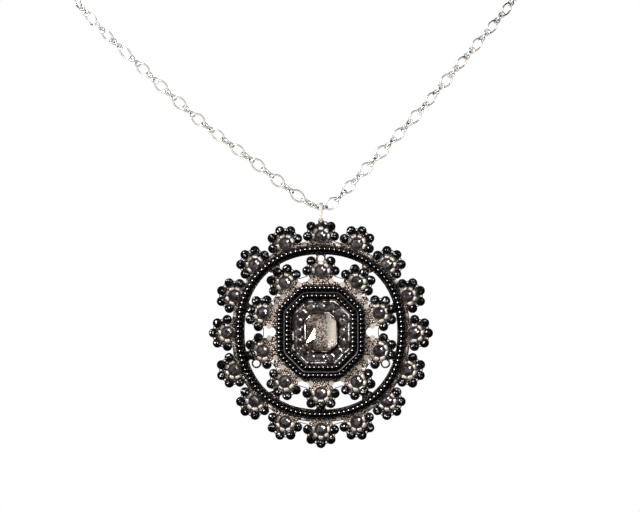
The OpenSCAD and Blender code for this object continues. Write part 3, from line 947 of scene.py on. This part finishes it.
print("petals:", OUTER_COUNT, "outer and", INNER_COUNT, "inner")


# %% [markdown]
# A petal bead is a ball with its drilled hole, 2.54 mm across. The facets are shallow enough to
# be left to the material.

# %% Petal beads
r = BEAD_D / 2
end = acos(BEAD_HOLE / 2 / r)
outline = [(r * sin(a), r * cos(a)) for a in np.linspace(end, -end, 9)]
mouth = r * sin(end) * 0.85
outline += [(-mouth, BEAD_HOLE / 2 * 0.8), (mouth, BEAD_HOLE / 2 * 0.8)]
round_bead = pattern(closed_bar("round_bead", spun(outline, 14)))

for ring, stones, radii, missing, seed in (
    ("outer", outer_stones, OUTER_BEAD_R, OUTER_MISSING, 2),
    ("inner", inner_stones, INNER_BEAD_R, INNER_MISSING, 3),
):
    kept = [petal_bead(stones, radii, k) for k in range(5 * len(stones)) if k not in missing]
    places = [(*place, BEAD_Z) for place, way in kept]
    ways = [(*way, 0) for place, way in kept]
    beads = grown(
        ring + "_polished_beads", point_mesh(ring, places, ways, UP), setting_tree,
        Part=round_bead, Turn=(3.1, 0.06, 0.06), Size=0.015, Seed=seed, Material=polished_glass,
    )
    dressed(beads, "black_glass", ring + "_petal_beads")

# %% [markdown]
# ## Seed beads
# Size 11/0 seed beads are short rounded tubes, 2.1 mm across, 1.3 mm long. They are sewn in
# rows that touch: one ring, and two rows round the octagon. A path and a count are all that the
# string tree needs.


# %% Seed bead
def seed_bead(name, across, length, hole):
    """A short tube with a well rounded outside and a plain hole."""
    wall, mid = (across - hole) / 4, (across + hole) / 4
    outline = [
        (length / 2 * cos(a), mid + wall * sin(a))
        for a in np.radians((-20, 22, 56, 90, 124, 158, 200))
    ]
    outline += [(-length * 0.3, hole / 2), (length * 0.3, hole / 2)]
    return pattern(closed_bar(name, spun(outline, 14)))


ring_seed = seed_bead("ring_seed", 2.1, 1.27, 0.8)
band_seed = seed_bead("band_seed", 2.04, 1.17, 0.8)
print("seed beads:", ring_seed.name, band_seed.name)

# %% Paths of the rows
RING_A, RING_B, RING_POWER = 21.6, 21.9, 2.2


def ring_point(turn, grow=0.0):
    """Place on the squarish ring, at a bearing from the top."""
    x, y = bearing(turn)
    reach = (abs(x) / (RING_A + grow)) ** RING_POWER + (abs(y) / (RING_B + grow)) ** RING_POWER
    return np.array([x, y]) * reach ** (-1 / RING_POWER)


def cut_rectangle(w, h, cut):
    """Octagon with straight corners from half of each size and the cut, clockwise."""
    return [(w - cut, h), (w, h - cut), (w, cut - h), (w - cut, -h), (cut - w, -h), (-w, cut - h),
            (-w, h - cut), (cut - w, h)]


CORE_W, CORE_H, CORE_CUT = 7.5, 8.25, 3.8
core = cut_rectangle(CORE_W, CORE_H, CORE_CUT)


def octagon(away, steps=6):
    """Rounded octagon at a distance from the core's corners, from the right, anticlockwise."""
    return [
        np.array(core[(1 - k) % 8]) + away * np.array([cos(a), sin(a)])
        for k in range(8)
        for a in np.radians(np.linspace(45 * k, 45 * k + 45, steps + 1))
    ]


# %% [markdown]
# For each row: its line, its height, its bead, how far apart the beads stand and the packed
# row that it stands for.

# %% Sewing the rows
ring_line = [ring_point(a) for a in np.linspace(0, 360, 180, endpoint=False)]
rows = (
    ("ring_seed_bead_row", ring_line, 1.95, ring_seed, 1.29, "ring_seed_beads", 11),
    ("band_outer_row", octagon(3.32), 1.92, band_seed, 1.19, "band_seed_outer_row", 12),
    ("band_inner_row", octagon(1.2), 2.52, band_seed, 1.19, "band_seed_inner_row", 13),
)
for name, line, z, bead, pitch, node, seed in rows:
    count = round(paces([*line, line[0]])[-1] / pitch)
    row = grown(
        name, path_mesh(name + "_path", line, z), string_tree,
        Part=bead, Count=count, Turn=(3.1, 0.05, 0.07), Size=0.02, Seed=seed, Material=seed_glass,
    )
    dressed(row, "black_glass", node)
    print(name, "has", count, "beads")

# %% [markdown]
# ## Pads and grains of silver
# Between each stone and each of its beads the plate has a smooth raised pad, and a lower one
# stands outside the ring between each two petals. The rest of the plate's skin is set with
# grains about 0.5 mm across, apart from the flat discs beside the roots and the empty loops.
# The grains start from an even grid, each is moved a little, and those that no metal carries
# are left out.


# %% Distances on the plate
def ring_offset(x, y):
    """How far a place lies outside the ring's line."""
    reach = ((abs(x) / RING_A) ** RING_POWER + (abs(y) / RING_B) ** RING_POWER) ** (1 / RING_POWER)
    return (1 - 1 / reach) * np.hypot(x, y)


def band_offset(x, y):
    """How far a place lies outside the octagon's core."""
    x, y = abs(x) - CORE_W, abs(y) - CORE_H
    return np.maximum.reduce([x, y, (x + y + CORE_CUT) / sqrt(2)])


def nearest(x, y, places):
    """Distance to the nearest of some places, and which one it is."""
    away = np.hypot(x[:, None] - places[:, 0], y[:, None] - places[:, 1])
    return away.min(axis=1), away.argmin(axis=1)


# %% A grid of places
GRAIN_PITCH, GRAIN_MOVE, GRID_HALF, ROW_SQUEEZE = 0.58, 0.14, 31, 0.866
chance = np.random.default_rng(7)
steps = np.arange(-GRID_HALF, GRID_HALF, GRAIN_PITCH)
grid_x, grid_y = np.meshgrid(steps, steps * ROW_SQUEEZE)
grid_x = grid_x + (np.arange(len(grid_x)) % 2)[:, None] * GRAIN_PITCH / 2
x, y = [g.ravel() + chance.uniform(-GRAIN_MOVE, GRAIN_MOVE, g.size) for g in (grid_x, grid_y)]

stones = np.array(outer_stones + inner_stones)
away, which = nearest(x, y, stones)
of_inner = which >= OUTER_COUNT
outward = stones[which] / np.linalg.norm(stones[which], axis=1)[:, None]
from_stone = np.stack([x, y], axis=1) - stones[which]
along_out = (from_stone * outward).sum(axis=1)
aside = abs(from_stone[:, 0] * outward[:, 1] - from_stone[:, 1] * outward[:, 0])
print("places to choose from:", len(x))

# %% What stands on the plate
BASE_R, LOBE_R, FILL_R, SIDE_HOLE_X, SIDE_HOLE_R = 13.9, 3.5, 1.3, 13.2, 1.25
DISC_R, DISC_REACH, DISC_TURN, PAD_R, PAD_PAST_RING = 0.7, 13.8, 11.5, 2.08, 1.5
discs = np.array([
    DISC_REACH * bearing(360 * i / INNER_COUNT + side * DISC_TURN)
    for i in range(INNER_COUNT) for side in (-1, 1)
])
fills = np.array([BASE_R * bearing((k + 0.5) * 360 / INNER_COUNT) for k in (1, 3, 6, 8)])
side_holes = np.array([(-SIDE_HOLE_X, 0), (SIDE_HOLE_X, 0)])
beads_at = np.array([
    petal_bead(ring, radii, k)[0]
    for ring, radii in ((outer_stones, OUTER_BEAD_R), (inner_stones, INNER_BEAD_R))
    for k in range(5 * len(ring))
])
between = [(i + 0.5) * 360 / OUTER_COUNT for i in range(OUTER_COUNT)]
pad_ways = [bearing(petal_turn(stone, k)) for stone in stones for k in range(5)]
pads_at = [stones[i // 5] + PAD_R * way for i, way in enumerate(pad_ways)]
pads_at = np.array(pads_at + [ring_point(turn, PAD_PAST_RING) for turn in between])
pad_ways += [bearing(turn) for turn in between]
print("pads:", len(pads_at))

# %% Choosing the grains' places
EDGE, ROOT_HALF, TAB_HALF, TAB_FROM, RIM_IN, RIM_OUT = 0.12, 2.5, 1.1, 3.6, 1.22, 1.82
RING_CLEAR, BAND_CLEAR, CUP_CLEAR, BEAD_CLEAR, PAD_CLEAR = 1.2, 4.3, 1.85, 1.0, 0.62
off_ring, off_band = ring_offset(x, y), band_offset(x, y)
on_metal = (away < LOBE_R - 0.1) | (of_inner & (aside < ROOT_HALF) & (along_out < 0))
on_metal |= (np.hypot(x, y) < BASE_R - EDGE) | (nearest(x, y, fills)[0] < FILL_R - EDGE)
on_metal |= (off_ring > RIM_IN) & (off_ring < RIM_OUT)
on_metal |= of_inner & (along_out > TAB_FROM) & (aside < TAB_HALF)
kept = on_metal & (abs(off_ring) > RING_CLEAR) & (off_band > BAND_CLEAR) & (away > CUP_CLEAR)
for places, clear in (
    (beads_at, BEAD_CLEAR), (discs, DISC_R + 0.1), (side_holes, SIDE_HOLE_R + 0.15),
    (pads_at, PAD_CLEAR),
):
    kept &= nearest(x, y, places)[0] > clear
x, y, away, from_stone = x[kept], y[kept], away[kept], from_stone[kept]
print("grains:", len(x))

# %% [markdown]
# A cup's side is a cone, so a grain there stands out sideways. Elsewhere it points at the
# viewer. One low dome with six sides serves for all grains.

# %% Setting the grains
PLATE_TOP, CUP_H, CUP_FOOT_R, CUP_R, CUP_SLOPE = 0.8, 1.9, 2.3, 1.65, radians(70)
CONE_REACH, WIRE_IN, WIRE_OUT, WIRE_H = 2.02, 2.35, 2.6, 1.0
on_cone = away < CONE_REACH
lift = np.where(on_cone, CUP_H * (CUP_FOOT_R - away) / (CUP_FOOT_R - CUP_R), PLATE_TOP)
lift = np.where((away > WIRE_IN) & (away < WIRE_OUT), WIRE_H, lift)
sideways = from_stone / away[:, None] * (on_cone * sin(CUP_SLOPE))[:, None]
upright = np.where(on_cone, cos(CUP_SLOPE), 1.0)
grain = pattern(lathe("grain", [(-0.04, 0.26), (0.1, 0.23), (0.22, 0.11)], 6))
grain_points = point_mesh(
    "grain_places", np.column_stack([x, y, lift]), np.column_stack([sideways, upright]),
    np.column_stack([-from_stone[:, 1], from_stone[:, 0], 0 * x]),
)
grains = grown(
    "silver_grains", grain_points, setting_tree,
    Part=grain, Turn=(3.1, 0.1, 0.1), Size=0.16, Seed=21, Material=grain_silver,
)
dressed(grains, "filigree_silver")


# %% Pads between stones and beads
def rounded_block(name, length, width, height, sides, rings):
    """A block with well rounded edges, its height along Z."""
    sections = []
    for b in [pi * k / rings - pi / 2 for k in range(1, rings)]:
        half_x, half_y = (size / 2 * soften(cos(b)) for size in (length, width))
        z = height / 2 * soften(sin(b))
        sections.append([
            (half_x * soften(cos(a)), half_y * soften(sin(a)), z) for a in circle(sides)
        ])
    return capped(name, (0, 0, -height / 2), (0, 0, height / 2), sections)


PAD_LENGTH, PAD_WIDTH, PAD_HEIGHT, PAD_LEAN = 1.4, 0.95, 0.7, radians(18)
PETAL_PAD_TOP, RING_PAD_TOP = CUP_H - 0.1, 1.2
pad_tops = [PETAL_PAD_TOP] * 5 * len(stones) + [RING_PAD_TOP] * OUTER_COUNT
pad_points = point_mesh(
    "pad_places",
    [(*place, top - PAD_HEIGHT / 2) for place, top in zip(pads_at, pad_tops)],
    [(way[1], -way[0], 0) for way in pad_ways],
    [(*(way * sin(PAD_LEAN)), cos(PAD_LEAN)) for way in pad_ways],
)
pads = grown(
    "burnished_pads", pad_points, setting_tree,
    Part=pattern(rounded_block("pad", PAD_LENGTH, PAD_WIDTH, PAD_HEIGHT, 12, 6)),
    Turn=(0.12, 0.12, 0.12), Size=0.08, Seed=31, Material=pad_silver,
)
dressed(pads, "filigree_silver")

# %% [markdown]
# On the setting a row of finer beads runs along the edge, two raised grains stand between each
# pair of stones, and a fine frame with a prong at each cut corner goes round the centre stone.


# %% Lines on the setting
PAVE_FLAT_X, PAVE_FLAT_Y, PAVE_CORNER, PAVE_COUNT = 1.35, 2.35, 4.4, 16
SETTING_TOP, BEZEL_TOP = 2.4, 3.2
pave_line = [
    np.array([sx * PAVE_FLAT_X, sy * PAVE_FLAT_Y]) + PAVE_CORNER * bearing(a)
    for sx, sy, a0 in ((1, 1, 0), (1, -1, 90), (-1, -1, 180), (-1, 1, 270))
    for a in np.linspace(a0, a0 + 90, 12)
]
pave_line.append(pave_line[0])
pave_paced = paces(pave_line)
edge = octagon(-0.16, 3)
edge.append(edge[0])
edge_paced = paces(edge)
print("rows on the setting, in mm:", round(pave_paced[-1], 1), round(edge_paced[-1], 1))


# %% Claws and milgrain
def pave_at(k):
    """Place k stones along the line of the pave stones, from the top middle."""
    s = (k * pave_paced[-1] / PAVE_COUNT - PAVE_FLAT_X) % pave_paced[-1]
    return place_at(s, pave_line, pave_paced)


CLAW_ASIDE, MILGRAIN_PITCH = 0.78, 0.44
fine_at = []
for i in range(PAVE_COUNT):
    here = pave_at(i + 0.5)
    step = pave_at(i + 0.6) - here
    aside = CLAW_ASIDE * np.array([step[1], -step[0]]) / np.linalg.norm(step)
    fine_at += [(*(here + aside), SETTING_TOP), (*(here - aside), SETTING_TOP)]
fine_at += [
    (*place_at(s, edge, edge_paced), SETTING_TOP)
    for s in np.arange(0, edge_paced[-1], MILGRAIN_PITCH)
]
fine = grown(
    "claws_and_milgrain", point_mesh("fine_places", fine_at, UP, (1, 0, 0)), setting_tree,
    Part=grain, Turn=(3.1, 0.1, 0.1), Size=0.2, Seed=5, Material=patchy_highlight_silver,
)

# %% Frames and prongs
CENTRE_W, CENTRE_H, CENTRE_CUT, FRAME_GAP = 7.9, 9.8, 2.0, 0.22
around = cut_rectangle(CENTRE_W / 2 + FRAME_GAP, CENTRE_H / 2 + FRAME_GAP, CENTRE_CUT + 0.07)
frames = [
    bar(name, [Vector((*p, z)) for p in line], across, high, 6, UP)
    for name, line, z, across, high in (
        ("bezel_frame", around, BEZEL_TOP, 0.11, 0.1),
        ("edge_frame", octagon(0.03, 3), SETTING_TOP - 0.02, 0.06, 0.08),
    )
]
for mesh in frames:
    mesh.materials.append(patchy_highlight_silver)
prong_x, prong_y = ((size - CENTRE_CUT) / 2 + 0.1 for size in (CENTRE_W, CENTRE_H))
prong_ways = [(sx * prong_x, sy * prong_y, 0) for sx in (-1, 1) for sy in (-1, 1)]
prong_at = [(x, y, BEZEL_TOP) for x, y, z in prong_ways]
prongs = grown(
    "corner_prongs", point_mesh("prong_places", prong_at, prong_ways, UP), setting_tree,
    Part=pattern(link_shape("prong", 0.9, 0.5, 0.24, 10, 6)),
    Turn=(0, 0, 0.1), Size=0.0, Seed=8, Material=patchy_highlight_silver,
)
dressed(joined("setting_trim", fine, *frames, prongs), "filigree_silver")

# %% [markdown]
# ## Thread at the eyelet
# The eyelet is sewn to the plate: closed turns of thread through the casting go over its foot,
# the lower ones wider, and finer turns lie round both sides of its ring. The ring's top, where
# the bail bears, is bare. A turn's sizes are its two half widths and the thread's own.


# %% Turns of thread
def thread_turn(name, middle, side, reach_side, reach_up, thread):
    """One closed turn of thread: its plane holds the side direction and the pendant's Z."""
    middle, side, up = Vector(middle), Vector(side), Vector(UP)
    path = [
        middle + side * reach_side * soften(cos(a)) + up * reach_up * soften(sin(a))
        for a in circle(14)
    ]
    return bar(name, path, thread, thread, 6, side.cross(up))


FOOT_Y, FOOT_STEP, FOOT_Z = 27.8, 0.24, 0.62
EYELET_Y, EYELET_MID_R = 29.5, 0.58
sewn = [
    thread_turn(
        f"foot_turn_{i}", (0, FOOT_Y + FOOT_STEP * i, FOOT_Z), (1, 0, 0), 1.0 - 0.08 * i, 0.75, 0.13
    )
    for i in range(6)
]
for angle in (0, -16, -32, -48, 228, 212, 196, 180):
    way = bearing(90 - angle)
    middle = (EYELET_MID_R * way[0], EYELET_Y + EYELET_MID_R * way[1], EYELET_HEIGHT)
    sewn.append(thread_turn(f"ring_turn_{angle}", middle, (*way, 0), 0.23, 0.4, 0.07))
for turn in sewn:
    turn.materials.append(waxed_thread)
dressed(joined("eyelet_wrap", *sewn), "black_thread")

# %% [markdown]
# ## Centre stone
# An octagon cut with a speckled foil. Its table sits a little to the right and high, so the
# left and bottom facets are the widest. One long facet at the lower left is flat enough to
# mirror a light, the right facet is the palest, and the foil is in shade under the upper left.
# Points stand in rows of eight, clockwise, from the culet up to the table. Each level says how
# large its row is against the girdle's, and how high it lies. GIRDLE and TABLE are the first
# points of their rows. The left facet starts LEFT points on in each, and is bent at two more
# points: a waist on the table's edge, and a knee below it.

# %% Cutting the centre stone
TABLE_MIDDLE, TABLE_HALF, TABLE_CUT, CROWN_H = np.array([0.5, 0.35]), (2.15, 2.85), 0.9, 0.8
LEVELS = [(0.1, -2.0), (0.62, -1.1), (1, -0.12), (1, 0)]
GIRDLE_Z, GIRDLE, TABLE, LEFT = 3.0, 24, 32, 5
table = [tuple(TABLE_MIDDLE + p) for p in np.array(cut_rectangle(*TABLE_HALF, TABLE_CUT))]
points = []
for size, z in LEVELS:
    half_w, half_h = CENTRE_W / 2 * size, CENTRE_H / 2 - CENTRE_W / 2 * (1 - size)
    points += [(*p, z) for p in cut_rectangle(half_w, half_h, CENTRE_CUT * size)]
points += [(*p, CROWN_H) for p in table]
waist, knee = len(points), len(points) + 1
points += [(table[LEFT][0], 1.1, CROWN_H), (-3.0, 1.5, 0.52)]
low, high, table_low, table_high = GIRDLE + LEFT, GIRDLE + LEFT + 1, TABLE + LEFT, TABLE + LEFT + 1
faces = [tuple(range(8)), (*range(TABLE, table_low + 1), waist, *range(table_high, TABLE + 8))]
for row in range(0, TABLE, 8):
    for j in range(8):
        k = (j + 1) % 8
        if (row, j) != (GIRDLE, LEFT):
            faces.append((row + j, row + k, row + 8 + k, row + 8 + j))
faces += [
    (low, waist, table_low), (low, knee, waist), (low, high, knee), (high, table_high, knee),
    (knee, table_high, waist),
]
stone_mesh = mesh_from("octagon_cut_stone", points, faces, smooth=False)
stone_mesh.transform(Matrix.Translation((0, 0, GIRDLE_Z)))
for material in (champagne_crystal, mirror_facet, clear_facet, shaded_crystal):
    stone_mesh.materials.append(material)
for face in stone_mesh.polygons:
    x, y, z = face.center
    at_right = x > 3 and z > GIRDLE_Z + 0.3 and abs(y - TABLE_MIDDLE[1]) < 0.8
    at_upper_left = x < -1.5 and y > 1.5 and z > GIRDLE_Z + 0.05
    if set(face.vertices) == {low, waist, table_low}:
        face.material_index = 1
    elif at_right:
        face.material_index = 2
    elif at_upper_left:
        face.material_index = 3
dressed(stone_mesh, "champagne_crystal", "centre_stone")
print("stone facets:", len(stone_mesh.polygons))

# %% [markdown]
# ## What stays as packed
# The plate, the stepped setting, the stones, the thread and the fine wire have their real shape
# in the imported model. They keep it, and only get their finish.

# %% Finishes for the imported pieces
STONES = ("pave_stones", "outer_petal_stones", "inner_petal_stones")
for material, names in (
    (cast_silver, ["filigree_plate"]), (dark_silver, ["centre_setting"]),
    (blackened_silver, ["band_groove_wire"]), (smoke_crystal, STONES),
    (waxed_thread, ["outer_bead_thread", "inner_bead_thread"]),
):
    for name in names:
        slots = frame["nodes"][name].data.materials
        slots.clear()
        slots.append(material)
    print(material.name, "on", ", ".join(names))

# %% Which pieces the screened lamps light
CHAIN_PIECES = ("chain_links", "strap_bail", "screw_barrel_clasp")
SCREENED = {
    "strip_far_right": STONES,
    "card_left": CHAIN_PIECES,
    "card_right": CHAIN_PIECES,
    "soft_front": (
        "filigree_plate", "band_groove_wire", "silver_grains", "burnished_pads", "setting_trim",
        "outer_polished_beads", "inner_polished_beads",
    ),
    "low_right": ("octagon_cut_stone",),
    "lamp_behind": ("filigree_plate", "screw_barrel_clasp"),
}
for lamp, names in SCREENED.items():
    light_only(lamp, [frame["nodes"].get(n) or bpy.data.objects[n] for n in names])
    print(lamp, "lights", len(names))

# %% [markdown]
# The patterns have done their work, and are taken away.

# %% Finish
for thing in [o for o in bpy.data.objects if o.name.startswith("pattern_")]:
    bpy.data.objects.remove(thing)
